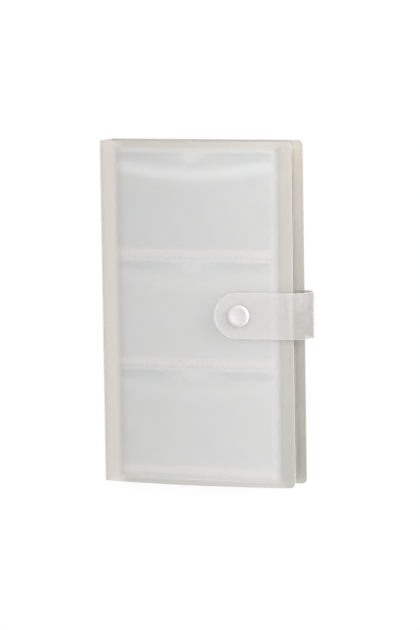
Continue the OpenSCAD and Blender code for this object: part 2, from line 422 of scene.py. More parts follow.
binding_finish = clear_sheet("clear_binding", (0.80, 0.78, 0.76), 0.6, flat=False)
leaf_finish = clear_sheet("leaf_sheet", (0.61, 0.615, 0.61), 0.985)
weld_finish = clear_sheet("weld_band", (0.76, 0.76, 0.75), 0.75)
dash_finish = clear_sheet("weld_dash", (0.95, 0.94, 0.92), 0.98)
print("clear sheets:", binding_finish.name, leaf_finish.name, weld_finish.name, dash_finish.name)

# %% [markdown]
# ## Clear strap
# The strap is a thicker clear sheet. On the front it lets the cover show, and round the fore edge it is
# milkier, and darker by painted shade. The place of a point could say where the bend is, but that moves when
# the strap opens. So each point carries a mark, round_bend, and the tint stays.

# %% Clear strap
# The bend's tint is painted shade, darker than the tongue.
TONGUE_TINT, BEND_SHADE_TINT = (0.81, 0.795, 0.775), (0.49, 0.465, 0.445)
STRAP_MOTTLE = (0.84, 0.83, 0.82)
TONGUE_MILK, BEND_MILK = 0.4, 0.75
BEND_MARK = "round_bend"


def strap_sheet():
    mat, tree, shader = finish("clear_strap")
    round_bend = added(tree, "ShaderNodeAttribute", {}, attribute_name=BEND_MARK)["Fac"]
    # Painted shade round the bend.
    tint = mixed(tree, round_bend, TONGUE_TINT, BEND_SHADE_TINT)
    tint = mottled(tree, 12 * MM, tint, STRAP_MOTTLE, 0.2)
    coat(tree, shader, tint, ranged(tree, round_bend, 0, 1, one_face(TONGUE_MILK), one_face(BEND_MILK)))
    gloss(tree, shader, 9 * MM, 0.25, 0.38)
    grain(tree, shader, 0.8 * MM, 0.004 * MM, 0.1)
    return mat


strap_finish = strap_sheet()
print(strap_finish.name, "reads", BEND_MARK)

# %% [markdown]
# ## Pocket film
# A pocket film is clear, but a stack of them looks darker and cooler than the bare sheet. Where heat has
# welded it, along the bottom and the sides, it is pale. Its mouth carries a painted shadow, and the slack
# film below the thumb notch catches the light in a shallow curve, drawn as a painted highlight. The row at
# the head also gets some painted shade. These could be thin shapes of their own. A finish that reads the
# film's UV map, U across and V up, does the same with no more faces.

# %% Welds of a film
FILM_W, FILM_H = 96.1 * MM, 60.0 * MM
SEAM_W, SEAL_H = 1.8 * MM, 4.5 * MM
SIDE_WELD = 0.15


def up_film(tree, v, low, high, to_low, to_high):
    """A step on the way up the film, with its ends given in heights of the bottom weld."""
    return ranged(tree, v, SEAL_H * low / FILM_H, SEAL_H * high / FILM_H, to_low, to_high)


def film_welds(tree, from_middle, v):
    """1 on the bottom weld, a little on the side welds and 0 elsewhere."""
    top = up_film(tree, v, 0.8, 1.4, 1, 0)
    foot = up_film(tree, v, 0.2, 0.45, 0, 1)
    inner, outer = (0.5 - SEAM_W * n / FILM_W for n in (1.4, 0.6))
    side = ranged(tree, from_middle, inner, outer, 0, SIDE_WELD)
    return sum_of(tree, "MAXIMUM", sum_of(tree, "MULTIPLY", top, foot), side)


print(f"film {FILM_W / MM:.1f} by {FILM_H / MM:.1f} mm with a bottom weld of {SEAL_H / MM:.1f} mm")

# %% Painted highlight and mouth shadow of a film
# Painted highlight below the thumb notch.
HIGHLIGHT_LOW, HIGHLIGHT_RISE, HIGHLIGHT_W = 0.79, 0.4, 0.11
HIGHLIGHT_MOST_ROWS, HIGHLIGHT_HEAD_ROW = 0.25, 0.9
# Painted shadow in the mouth of a film.
MOUTH_START, MOUTH_END, MOUTH_SHADOW = 0.87, 0.985, 0.8
NOTCH_START, NOTCH_END, NOTCH_SHADOW = 0.06, 0.28, 0.12


def film_highlight(tree, from_middle, v, head_row):
    """A painted highlight: a band of light that is lowest in the middle, and strongest in the row at the
    head.
    """
    rise = sum_of(tree, "MULTIPLY", from_middle, from_middle)
    curve = sum_of(tree, "MULTIPLY_ADD", rise, HIGHLIGHT_RISE, HIGHLIGHT_LOW)
    off_curve = sum_of(tree, "ABSOLUTE", sum_of(tree, "SUBTRACT", v, curve))
    slack = ranged(tree, head_row, 0, 1, HIGHLIGHT_MOST_ROWS, HIGHLIGHT_HEAD_ROW)
    return sum_of(tree, "MULTIPLY", ranged(tree, off_curve, 0, HIGHLIGHT_W, 1, 0), slack)


def mouth_shadow(tree, from_middle, v):
    """How much painted shadow lies in the mouth: less beside the thumb notch than at the sides."""
    by_notch = ranged(tree, from_middle, NOTCH_START, NOTCH_END, NOTCH_SHADOW, 1)
    return sum_of(tree, "MULTIPLY", ranged(tree, v, MOUTH_START, MOUTH_END, 0, MOUTH_SHADOW), by_notch)


print(f"the shine runs {HIGHLIGHT_LOW * FILM_H / MM:.0f} mm above the film's foot")

# %% Pocket film
FILM_COOL, FILM_MOTTLE = (0.65, 0.652, 0.65), (0.72, 0.722, 0.722)
FILM_PALE, FILM_HIGHLIGHT = (1.0, 0.94, 0.88), (1.0, 1.0, 1.0)
FILM_SHADE, FILM_FOOT = (0.42, 0.435, 0.45), (0.50, 0.505, 0.505)
FILM_COVER = 0.75
HEAD_SHADE = 0.3


def pocket_film():
    mat, tree, shader = finish("pocket_film")
    from_middle = sum_of(tree, "ABSOLUTE", sum_of(tree, "SUBTRACT", along(tree, "X", "UV"), 0.5))
    v = along(tree, "Y", "UV")
    head_row = ranged(tree, along(tree, "Y"), COVER_H * 0.12, COVER_H * 0.2, 0, 1)
    colour = mottled(tree, 18 * MM, FILM_COOL, FILM_MOTTLE, 0.4)
    # Painted shade over the row at the head.
    colour = mixed(tree, ranged(tree, head_row, 0, 1, 0, HEAD_SHADE), colour, FILM_SHADE)
    # Painted highlight of the slack film.
    colour = mixed(tree, film_highlight(tree, from_middle, v, head_row), colour, FILM_HIGHLIGHT)
    # Painted shadow in the mouth.
    colour = mixed(tree, mouth_shadow(tree, from_middle, v), colour, FILM_SHADE)
    colour = mixed(tree, up_film(tree, v, 0.2, 0.5, 1, 0), colour, FILM_FOOT)
    colour = mixed(tree, film_welds(tree, from_middle, v), colour, FILM_PALE)
    light_painted_cut(tree, shader, colour, FILM_COVER)
    gloss(tree, shader, 14 * MM, 0.18, 0.3)
    return mat


film_finish = pocket_film()
print(film_finish.name, "has", len(film_finish.node_tree.nodes), "nodes")

# %% [markdown]
# ## White press stud
# The stud is moulded in white plastic with a touch of pink. Its dished top looks a little darker than its
# round edge. Lamps alone could draw that, but under the even light the difference would be lost, so a
# painted highlight makes the finish lighter where a face turns sideways.

# %% White press stud
STUD_WHITE, STUD_MOTTLE = (0.54, 0.52, 0.525), (0.52, 0.50, 0.505)
# Painted highlight on the round edge of the stud.
STUD_EDGE_HIGHLIGHT = (0.78, 0.745, 0.75)


def stud_plastic():
    mat, tree, shader = finish("stud_white")
    white = mottled(tree, 2.5 * MM, STUD_WHITE, STUD_MOTTLE)
    # Painted highlight where a face turns sideways.
    edge_highlight = ranged(tree, facing(tree), 0.55, 0.97, 1, 0)
    coat(tree, shader, mixed(tree, edge_highlight, white, STUD_EDGE_HIGHLIGHT))
    gloss(tree, shader, 3 * MM, 0.22, 0.34)
    grain(tree, shader, 0.3 * MM, 0.008 * MM, 0.15)
    return mat


stud_finish = stud_plastic()
print("finishes:", ", ".join(m.name for m in bpy.data.materials if m.use_nodes))

# %% [markdown]
# ## Sheet panels
# A cover panel is a thin sheet with two round corners at the fore edge. It could be a bent plane with a
# Solidify modifier, but the corners would need a cut. So it is laid out in rows that run from the spine
# to where the corner leaves them. Two such layers and a rim make a closed sheet, and a small bevel rounds
# its cut edge, which gets the edge finish.

# %% Pieces and bevels
BEVEL_ANGLE = math.radians(40)
EDGE_TURN = 0.8


def add_piece(name, bm, finishes, smooth=True):
    bmesh.ops.recalc_face_normals(bm, faces=bm.faces)
    mesh = bpy.data.meshes.new(name)
    bm.to_mesh(mesh)
    bm.free()
    for mat in finishes:
        mesh.materials.append(mat)
    obj = bpy.data.objects.new(name, mesh)
    bpy.context.collection.objects.link(obj)
    if smooth:
        mesh.shade_smooth()
    return obj


def apply_modifiers(obj):
    bpy.context.view_layer.update()
    graph = bpy.context.evaluated_depsgraph_get()
    mesh = bpy.data.meshes.new_from_object(obj.evaluated_get(graph))
    obj.modifiers.clear()
    obj.data = mesh
    return obj


def bevelled(obj, width, segments=2):
    mod = obj.modifiers.new("soft_edge", "BEVEL")
    mod.width = width
    mod.segments = segments
    mod.limit_method = "ANGLE"
    mod.angle_limit = BEVEL_ANGLE
    return apply_modifiers(obj)


def mark_edges(obj):
    """Faces that look sideways are the sheet's cut edge and get its second finish."""
    for face in obj.data.polygons:
        face.material_index = 1 if abs(face.normal.z) < EDGE_TURN else 0
    return obj


print(f"edges sharper than {math.degrees(BEVEL_ANGLE):.0f} degrees get a bevel")

# %% Rows of a panel
CORNER_R = 3 * MM


def row_end(y):
    """How far a row at y reaches towards the fore edge, inside the round corner."""
    past = abs(y) - (COVER_H / 2 - CORNER_R)
    if past <= 0:
        return FORE_X
    return FORE_X - CORNER_R + math.sqrt(max(CORNER_R ** 2 - past ** 2, 0))


def rows_of_y(corner_steps=8, middle_steps=24):
    """The rows from tail to head, close together in the corners."""
    inner = COVER_H / 2 - CORNER_R
    turns = [math.pi / 2 * k / corner_steps for k in range(corner_steps + 1)]
    corner = [COVER_H / 2 - CORNER_R * (1 - math.sin(a)) for a in turns]
    middle = [-inner + 2 * inner * k / middle_steps for k in range(middle_steps + 1)]
    return [-y for y in reversed(corner)] + middle[1:-1] + corner


print(len(rows_of_y()), "rows from tail to head")

# %% Panel
COVER_BEVEL = 0.15 * MM


def layer_of(bm, x0, surface, side, columns):
    """The points of one face of the sheet, row by row."""
    layer = []
    for y in rows_of_y():
        x1 = row_end(y)
        xs = [x0 + (x1 - x0) * k / columns for k in range(columns + 1)]
        layer.append([bm.verts.new((px, y, pz)) for px, pz in (surface(x, side) for x in xs)])
    return layer


def rim_of(layer):
    """The points round the edge of a layer."""
    fore = [row[-1] for row in layer[1:]]
    bound = [row[0] for row in layer[-2:0:-1]]
    return layer[0] + fore + layer[-1][-2::-1] + bound


def band(bm, first, second):
    """Joins two rings of points by a band of faces."""
    for k in range(len(first)):
        n = (k + 1) % len(first)
        bm.faces.new((first[k], first[n], second[n], second[k]))


def panel(name, x0, surface, finishes, columns=48):
    """A closed sheet over surface(x, side), which gives the points of its two faces in X and Z."""
    bm = bmesh.new()
    upper, lower = [layer_of(bm, x0, surface, side, columns) for side in (1, -1)]
    for layer, flip in ((upper, False), (lower, True)):
        for a, b in zip(layer, layer[1:]):
            for k in range(columns):
                quad = (a[k], a[k + 1], b[k + 1], b[k])
                bm.faces.new(quad[::-1] if flip else quad)
    band(bm, rim_of(lower), rim_of(upper))
    return mark_edges(bevelled(add_piece(name, bm, finishes), COVER_BEVEL))


print(f"panels get a bevel of {COVER_BEVEL / MM:.2f} mm")

# %% [markdown]
# ## Covers
# The back cover lies flat, and the front bows outward over the leaves. A Simple Deform modifier could
# bend it, but the solid is a true arc: half its width and the height of its bow give the radius, so the
# sheet follows the solid.


# %% Back cover
def flat_surface(x, side):
    return x, SHEET_T / 2 + side * SHEET_T / 2


back = panel("back_cover_sheet", back_lo.x, flat_surface, [back_finish, back_edge], columns=12)
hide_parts("back_cover")
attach(back, "back_cover")
print("back cover:", len(back.data.polygons), "faces")

# %% Front cover
FRONT_Z = hinge_at["front_crease"].z
BOW = front_hi.z - SHEET_T / 2 - FRONT_Z
HALF_W = (front_hi.x - front_lo.x) / 2
ARC_R = (HALF_W ** 2 + BOW ** 2) / (2 * BOW)
ARC_X = (front_hi.x + front_lo.x) / 2
ARC_Z = FRONT_Z + BOW - ARC_R


def bowed_surface(x, side):
    reach = ARC_R + side * SHEET_T / 2
    return x, ARC_Z + math.sqrt(reach ** 2 - (x - ARC_X) ** 2)


front = panel("front_cover_sheet", front_lo.x, bowed_surface, [front_finish, cover_edge])
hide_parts("front_cover")
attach(front, "front_cover")
print(f"front cover: bow {BOW / MM:.1f} mm on a radius of {ARC_R / MM:.0f} mm")

# %% [markdown]
# ## Spine
# The spine is the narrow panel between the two creases, with a round fold at each side. It has the same
# profile from tail to head. A curve with an extrude would draw it too, but points that are joined directly
# give clean faces and need no conversion.


# %% Drawn out along the book
def arc(cx, cz, r, start, end, steps):
    """Points on an arc between two angles in degrees."""
    angles = [math.radians(start + (end - start) * k / steps) for k in range(steps + 1)]
    return [(cx + r * math.cos(a), cz + r * math.sin(a)) for a in angles]


def prism(bm, low, high):
    """A closed body between two rings of points."""
    bm.faces.new(low[::-1])
    bm.faces.new(high)
    band(bm, low, high)


def drawn_out(name, profile, y_half, finishes):
    """A profile in X and Z, drawn out along Y."""
    bm = bmesh.new()
    prism(bm, *[[bm.verts.new((x, y, z)) for x, z in profile] for y in (-y_half, y_half)])
    obj = add_piece(name, bm, finishes)
    obj.data.set_sharp_from_angle(angle=math.radians(45))
    return obj


print("a half circle in 12 steps has", len(arc(0, 0, 1, 0, 180, 12)), "points")

# %% Spine
crease = hinge_at["rear_crease"]
fold_r = SHEET_T / 2
spine_profile = arc(crease.x, crease.z, fold_r, 180, 360, 12)
spine_profile += arc(crease.x, FRONT_Z, fold_r, 0, 180, 12)
spine = drawn_out("spine_sheet", spine_profile, COVER_H / 2, [front_finish])
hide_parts("spine")
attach(spine, "spine")
print(f"spine {(FRONT_Z - crease.z) / MM:.1f} mm from crease to crease")

# %% [markdown]
# ## Binding strip
# Inside the spine stands a clear strip, bent to an arch, that the leaves are welded to. A pipe cut in half
# would be the same shape. Here an outer and an inner arc make one profile, drawn out like the spine.

# %% Binding strip
STRIP_T = 0.6 * MM
strip_lo, strip_hi = corners("binding_strip")
strip_r = (strip_hi.z - strip_lo.z) / 2
strip_z = (strip_hi.z + strip_lo.z) / 2
strip_profile = arc(strip_lo.x, strip_z, strip_r, -90, 90, 40)
strip_profile += arc(strip_lo.x, strip_z, strip_r - STRIP_T, 90, -90, 40)
binding = drawn_out("binding_arch", strip_profile, strip_hi.y, [binding_finish])
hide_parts("binding_strip")
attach(binding, "spine")
print(f"binding arch of radius {strip_r / MM:.2f} mm")

# %% [markdown]
# ## Leaves
# A leaf is a middle sheet with three pocket films on each side and weld bands under them. The flat sheets
# and welds could be drawn again, but their solids already have the right shape, so they only get finishes.

# %% Leaf finishes
LEAF_FINISH = {"_sheet": leaf_finish, "_welds": weld_finish}
leaf_count = sum(1 for name in frame["bodies"] if name.startswith("leaf_"))
leaves = [f"leaf_{i:02d}" for i in range(1, leaf_count + 1)]
for leaf in leaves:
    for ending, mat in LEAF_FINISH.items():
        solid = nodes[leaf + ending].data
        solid.materials.clear()
        solid.materials.append(mat)
print("finishes for", leaf_count, "leaves:", ", ".join(LEAF_FINISH))

# %% [markdown]
# ## One pocket film
# A film is a thin rectangle with a thumb notch cut from the middle of its mouth. A Boolean could cut the
# notch, but its outline is only an arc between straight lines, so the film is drawn round once and given
# its thickness. It carries the UV map that its finish reads.

# %% Outline of a film
NOTCH_R, NOTCH_RISE = 7.8 * MM, 1.5 * MM


def film_outline(steps=28):
    """Round the film from its lower left corner."""
    half = math.acos(NOTCH_RISE / NOTCH_R)
    turns = [half - 2 * half * k / steps for k in range(steps + 1)]
    notch = [(NOTCH_R * math.sin(a), FILM_H + NOTCH_RISE - NOTCH_R * math.cos(a)) for a in turns]
    right_side = [(FILM_W / 2, 0), (FILM_W / 2, FILM_H)]
    return [(-FILM_W / 2, 0)] + right_side + notch + [(-FILM_W / 2, FILM_H)]


print("film outline:", len(film_outline()), "points")

# %% One pocket film
FILM_T = 0.1 * MM


def one_film():
    bm = bmesh.new()
    uv = bm.loops.layers.uv.new("UVMap")
    outline = film_outline()
    prism(bm, *[[bm.verts.new((x, y, z)) for x, y in outline] for z in (-FILM_T / 2, FILM_T / 2)])
    for face in bm.faces:
        for loop in face.loops:
            loop[uv].uv = (loop.vert.co.x / FILM_W + 0.5, loop.vert.co.y / FILM_H)
    bmesh.ops.triangulate(bm, faces=[f for f in bm.faces if len(f.verts) > 4])
    mesh = bpy.data.meshes.new("one_film")
    bm.to_mesh(mesh)
    bm.free()
    return mesh


film_mesh = one_film()
print("one film:", len(film_mesh.polygons), "faces")

# %% [markdown]
# ## Pocket rows
# Each of the ten leaves has three pockets on each side. Copies in a loop would do, but Geometry Nodes
# show the pattern better and keep its sizes as inputs. A line of points gives the rows of one side, and
# the same rows turned half round give the other. The tree ends with real meshes, because the export drops
# instances.


# %% Start and end of a node tree
def new_tree(name, inputs):
    """An empty tree with named inputs, and the sockets that hand them on."""
    tree = bpy.data.node_groups.new(name, "GeometryNodeTree")
    tree.interface.new_socket("Geometry", in_out="OUTPUT", socket_type="NodeSocketGeometry")
    for label, kind in inputs.items():
        tree.interface.new_socket(label, in_out="INPUT", socket_type="NodeSocket" + kind)
    return tree, added(tree, "NodeGroupInput", {})


def close_tree(tree, shape, place, mat):
    """Moves the shape to the leaf's place, makes its instances real and gives them their finish."""
    moved = added(tree, "GeometryNodeTransform", {"Geometry": shape, "Translation": place})
    real = added(tree, "GeometryNodeRealizeInstances", {"Geometry": moved["Geometry"]})
    painted = added(tree, "GeometryNodeSetMaterial", {"Geometry": real["Geometry"], "Material": mat})
    added(tree, "NodeGroupOutput", {"Geometry": painted["Geometry"]})


print("helpers:", new_tree.__name__, close_tree.__name__)

# %% Rows on one side
ROW_COUNT = 3
MOUTH_GAP = 2.0 * MM
ROW_PITCH = FILM_H + MOUTH_GAP
film_lo, film_hi = corners(leaves[0] + "_pockets")
FILM_X = (film_lo.x + film_hi.x) / 2 - hinge_at[leaves[0] + "_turn"].x
LEAF_HALF_T = (film_hi.z - film_lo.z) / 2


def film_rows(tree, given):
    """A film on each point of a line from tail to head."""
    pitch = added(tree, "ShaderNodeCombineXYZ", {"Y": given["Row pitch"]})["Vector"]
    line = {"Count": ROW_COUNT, "Start Location": (0, film_lo.y, 0), "Offset": pitch}
    put = {"Points": added(tree, "GeometryNodeMeshLine", line)["Mesh"], "Instance": given["Geometry"]}
    return added(tree, "GeometryNodeInstanceOnPoints", put)["Instances"]


def film_side(tree, given, rows, side, half_turn):
    """The rows on one side of the leaf."""
    height = sum_of(tree, "MULTIPLY", given["Film height"], side)
    place = added(tree, "ShaderNodeCombineXYZ", {"X": FILM_X, "Z": height})["Vector"]
    lay = {"Geometry": rows, "Translation": place, "Rotation": (0, half_turn, 0)}
    return added(tree, "GeometryNodeTransform", lay)["Geometry"]


print(ROW_COUNT, f"rows, {ROW_PITCH / MM:.1f} mm apart")


# %% Pocket rows tree
def pocket_tree():
    sizes = {"Geometry": "Geometry", "Leaf place": "Vector", "Row pitch": "Float", "Film height": "Float"}
    tree, given = new_tree("pocket_rows", sizes)
    rows = film_rows(tree, given)
    join = tree.nodes.new("GeometryNodeJoinGeometry")
    for side, half_turn in ((1, 0), (-1, math.pi)):
        feed(tree, film_side(tree, given, rows, side, half_turn), join.inputs["Geometry"])
    close_tree(tree, join.outputs["Geometry"], given["Leaf place"], film_finish)
    return tree


film_tree = pocket_tree()
print(film_tree.name, "has", len(film_tree.nodes), "nodes")

# %% [markdown]
# ## Films on every leaf
# One object for all films would be simplest, but each leaf is a body that turns on its own hinge, so each
# needs a piece of its own. The tree runs once for each leaf with that leaf's place, and the result becomes
# a plain mesh that stands in for the solid pockets.


# %% Films on every leaf
def grown(name, mesh, tree, values):
    """A plain mesh made by a node tree whose inputs are set by their names."""
    obj = bpy.data.objects.new(name, mesh)
    bpy.context.collection.objects.link(obj)
    mod = obj.modifiers.new("tree", "NODES")
    mod.node_group = tree
    for socket in tree.interface.items_tree:
        if socket.name in values:
            mod[socket.identifier] = values[socket.name]
    return apply_modifiers(obj)


def films_on(leaf):
    sizes = {"Leaf place": tuple(hinge_at[leaf + "_turn"]), "Row pitch": ROW_PITCH,
             "Film height": LEAF_HALF_T - FILM_T / 2}
    obj = grown(leaf + "_films", film_mesh.copy(), film_tree, sizes)
    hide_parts(leaf + "_pockets")
    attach(obj, leaf)
    return obj


films = [films_on(leaf) for leaf in leaves]
print("films:", len(films), "pieces of", len(films[0].data.polygons), "faces")

# %% [markdown]
# ## Weld dashes
# A heated bar presses rows of short dashes into the films along each seam. A bump could hint at them, but
# the photograph shows small bright marks, so they are shapes. They repeat hundreds of times, which is
# work for Geometry Nodes: one point grid for the bottom seams and one for the side seams, with a flat
# dash on every point, on both faces of a leaf.

# %% Grid of dashes
DASH_PITCH, DASH_FOOT = 3.0 * MM, 0.9 * MM
DASH_LENGTH, DASH_WIDTH = 1.5 * MM, 1.3 * MM
DASH_HEIGHT = 0.03 * MM
DASH_CORNERS = 8


def dash_grid(tree, given, size, count, dash_turn):
    """A dash on each point of a grid: a low cylinder, one unit across, stretched to its sizes."""
    grid = {"Size X": size[0], "Size Y": size[1], "Vertices X": count[0], "Vertices Y": count[1]}
    unit = {"Vertices": DASH_CORNERS, "Radius": 0.5, "Depth": 1.0}
    stretch = {"X": given["Dash length"], "Y": given["Dash width"], "Z": DASH_HEIGHT}
    put = {"Points": added(tree, "GeometryNodeMeshGrid", grid)["Mesh"],
           "Instance": added(tree, "GeometryNodeMeshCylinder", unit)["Mesh"],
           "Scale": added(tree, "ShaderNodeCombineXYZ", stretch)["Vector"],
           "Rotation": (0, 0, dash_turn)}
    return added(tree, "GeometryNodeInstanceOnPoints", put)["Instances"]


print(f"dashes {DASH_LENGTH / MM:.1f} by {DASH_WIDTH / MM:.1f} mm, about {DASH_PITCH / MM:.1f} mm apart")

# %% Weld dash tree
weld_lo, weld_hi = corners(leaves[0] + "_welds")


def weld_tree():
    sizes = {"Leaf place": "Vector", "Dash length": "Float", "Dash width": "Float"}
    tree, given = new_tree("weld_dashes", sizes)
    run_x = film_hi.x - film_lo.x - 2 * SEAM_W
    run_y = weld_hi.y - weld_lo.y
    rows_h = (ROW_COUNT - 1) * ROW_PITCH
    foot_count, side_count = round(run_x / DASH_PITCH), round(run_y / DASH_PITCH)
    foot = dash_grid(tree, given, (run_x, rows_h), (foot_count, ROW_COUNT), 0)
    sides = dash_grid(tree, given, (run_x + SEAM_W, run_y), (2, side_count), math.pi / 2)
    foot_y = weld_lo.y + DASH_FOOT + rows_h / 2
    side_y = (weld_lo.y + weld_hi.y) / 2
    join = tree.nodes.new("GeometryNodeJoinGeometry")
    for dashes, middle_y in ((foot, foot_y), (sides, side_y)):
        for face in (1, -1):
            lay = {"Geometry": dashes, "Translation": (FILM_X, middle_y, face * LEAF_HALF_T)}
            feed(tree, added(tree, "GeometryNodeTransform", lay)["Geometry"], join.inputs["Geometry"])
    close_tree(tree, join.outputs["Geometry"], given["Leaf place"], dash_finish)
    return tree


dash_tree = weld_tree()
print(dash_tree.name, "has", len(dash_tree.nodes), "nodes")

# %% [markdown]
# ## Dashes on every leaf
# The dashes belong to the films, so they could be joined with them. Kept apart, they have their own finish
# and stand in for no solid, and like the films they come once for each leaf.


# %% Dashes on every leaf
def dashes_on(leaf):
    sizes = {"Leaf place": tuple(hinge_at[leaf + "_turn"]), "Dash length": DASH_LENGTH,
             "Dash width": DASH_WIDTH}
    obj = grown(leaf + "_dashes", bpy.data.meshes.new(leaf + "_dashes"), dash_tree, sizes)
    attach(obj, leaf)
    return obj


dashes = [dashes_on(leaf) for leaf in leaves]
print("dashes:", len(dashes), "pieces of", len(dashes[0].data.polygons), "faces")

# %% [markdown]
# ## Path of the strap
# The strap is one strip: flat inside the back cover, round past the fore edge, and flat again on the
# front. The hinges of its bend lie on a chain of equal links, and a circle touches every link in its
# middle. A curve with a bevel could follow that circle, but one mesh would then cross all the hinges. So
# the bend is cut into strips, one for each hinge, that start and end on the circle.

# %% Path of the strap
FLEX_COUNT = sum(1 for name in hinge_at if name.startswith("strap_flex_"))
flex_1, flex_2 = hinge_at["strap_flex_1"], hinge_at["strap_flex_2"]
root_lo, root_hi = corners("strap_root")
STRAP_T = root_hi.z - root_lo.z
STRAP_HALF = root_hi.y
link = flex_2 - flex_1
FLEX_TURN = math.atan2(link.z, link.x)
BEND_R = link.length / 2 / math.tan(FLEX_TURN / 2)
bend_start = Vector((flex_1.x - link.length / 2, 0, flex_1.z))
bend_middle = bend_start + Vector((0, 0, BEND_R))


def on_bend(k):
    """The point on the circle in the middle of link k, counted from the back cover."""
    angle = FLEX_TURN * k
    return bend_middle + Vector((BEND_R * math.sin(angle), 0, -BEND_R * math.cos(angle)))


print(f"strap bend of radius {BEND_R / MM:.2f} mm, {math.degrees(FLEX_TURN):.1f} degrees at each hinge")

# %% Section of the strap
RIM_R = 0.3 * MM


def strap_section(steps=4):
    """Across the strap, as pairs of a place along Y and a height over the middle, with round edges."""
    flat_y, flat_out = STRAP_HALF - RIM_R, STRAP_T / 2 - RIM_R
    points = []
    for y, out, start in ((1, 1, 0), (-1, 1, 90), (-1, -1, 180), (1, -1, 270)):
        points += arc(y * flat_y, out * flat_out, RIM_R, start, start + 90, steps)
    return points


print(f"strap {2 * STRAP_HALF / MM:.1f} mm wide and {STRAP_T / MM:.1f} mm thick")

# %% [markdown]
# ## Bend of the strap
# Each strip of the bend crosses one hinge. Its curve is not even: a smooth step gathers it at the hinge, in
# the middle of the strip, and leaves the strip straight at both ends.


# %% Path of one strip
def eased(t):
    """A smooth step from 0 to 1."""
    return t * t * (3 - 2 * t)


def strip_path(k, steps, fine=16):
    """Points and angles along strip k, from the middle of one link to the middle of the next."""
    first, last = on_bend(k - 1), on_bend(k)
    way = Vector((0, 0, 0))
    ways = [way.copy()]
    for n in range(steps * fine):
        angle = FLEX_TURN * (k - 1 + eased((n + 0.5) / (steps * fine)))
        way += Vector((math.cos(angle), 0, math.sin(angle)))
        if (n + 1) % fine == 0:
            ways.append(way.copy())
    scale = (last - first).length / way.length
    return [(first + w * scale, FLEX_TURN * (k - 1 + eased(s / steps))) for s, w in enumerate(ways)]


print(f"a strip reaches {(on_bend(1) - on_bend(0)).length / MM:.2f} mm")

# %% Mesh of one strip
BEND_FADE = 6 * MM
SIDE_TURN = 0.5


def mark_bend(obj):
    """Keeps with each point how far it lies round the bend while the strap is closed."""
    mark = obj.data.attributes.new(BEND_MARK, "FLOAT", "POINT")
    for vert in obj.data.vertices:
        t = (vert.co.x - FORE_X) / BEND_FADE + 0.5
        mark.data[vert.index].value = eased(min(max(t, 0), 1))


def bend_piece(k, steps=10):
    bm = bmesh.new()
    rings = []
    for point, angle in strip_path(k, steps):
        outward = Vector((math.sin(angle), 0, -math.cos(angle)))
        places = [point + outward * out + Vector((0, y, 0)) for y, out in strap_section()]
        rings.append([bm.verts.new(p) for p in places])
    for first, second in zip(rings, rings[1:]):
        band(bm, first, second)
    obj = add_piece(f"strap_bend_strip_{k}", bm, [strap_finish, strap_edge])
    for face in obj.data.polygons:
        face.material_index = 1 if abs(face.normal.y) > SIDE_TURN else 0
    mark_bend(obj)
    return obj


print(f"the bend's tint fades over {BEND_FADE / MM:.0f} mm at the fore edge")

# %% Strips of the bend
strips = []
for k in range(1, FLEX_COUNT + 1):
    strip = bend_piece(k)
    if k < FLEX_COUNT:
        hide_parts(f"strap_bend_{k}")
    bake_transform(strip)
    strips.append(strip)
print("strap bend:", len(strips), "strips of", len(strips[0].data.polygons), "faces")

# %% [markdown]
# ## Ends of the strap
# The root is welded inside the back cover, and the tongue with its round tip lies over the front. Both
# are outlines raised to flat plates with a bevelled rim. A closed plate would show a wall inside the
# clear strap where it meets the bend, so each is drawn a little too long and what lies past the joint is
# taken off.

# %% Plate with an open end
TOUCH = 1e-6


def open_end(obj, past_joint):
    """Takes off the faces past the joint."""
    bm = bmesh.new()
    bm.from_mesh(obj.data)
    cut = [f for f in bm.faces if past_joint(f.calc_center_median().x)]
    bmesh.ops.delete(bm, geom=cut, context="FACES")
    bm.to_mesh(obj.data)
    bm.free()


def plate(name, outline, low, high, basis, past_joint):
    """A flat plate over an outline in the plane of basis, with a soft rim and one open end."""
    bm = bmesh.new()
    face = bm.faces.new([bm.verts.new((x, y, low)) for x, y in outline])
    raised = bmesh.ops.extrude_face_region(bm, geom=[face])
    tops = [v for v in raised["geom"] if isinstance(v, bmesh.types.BMVert)]
    bmesh.ops.translate(bm, verts=tops, vec=(0, 0, high - low))
    obj = add_piece(name, bm, [strap_finish, strap_edge], smooth=False)
    mark_edges(bevelled(obj, RIM_R, segments=3))
    open_end(obj, past_joint)
    obj.data.transform(basis)
    mark_bend(obj)
    return obj


print(f"plates have a rim of {RIM_R / MM:.1f} mm")

# %% Root of the strap
ROOT_CORNER = 3 * MM
root_end = bend_start.x + RIM_R
root_outline = [(root_end, -STRAP_HALF), (root_end, STRAP_HALF)]
for side, start in ((1, 90), (-1, 180)):
    corner_y = side * (STRAP_HALF - ROOT_CORNER)
    root_outline += arc(root_lo.x + ROOT_CORNER, corner_y, ROOT_CORNER, start, start + 90, 8)
root = plate("strap_root_strip", root_outline, root_lo.z, root_hi.z, Matrix.Identity(4),
             lambda x: x > bend_start.x + TOUCH)
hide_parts("strap_root")
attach(root, "back_cover")
print(f"root {(bend_start.x - root_lo.x) / MM:.1f} mm long")

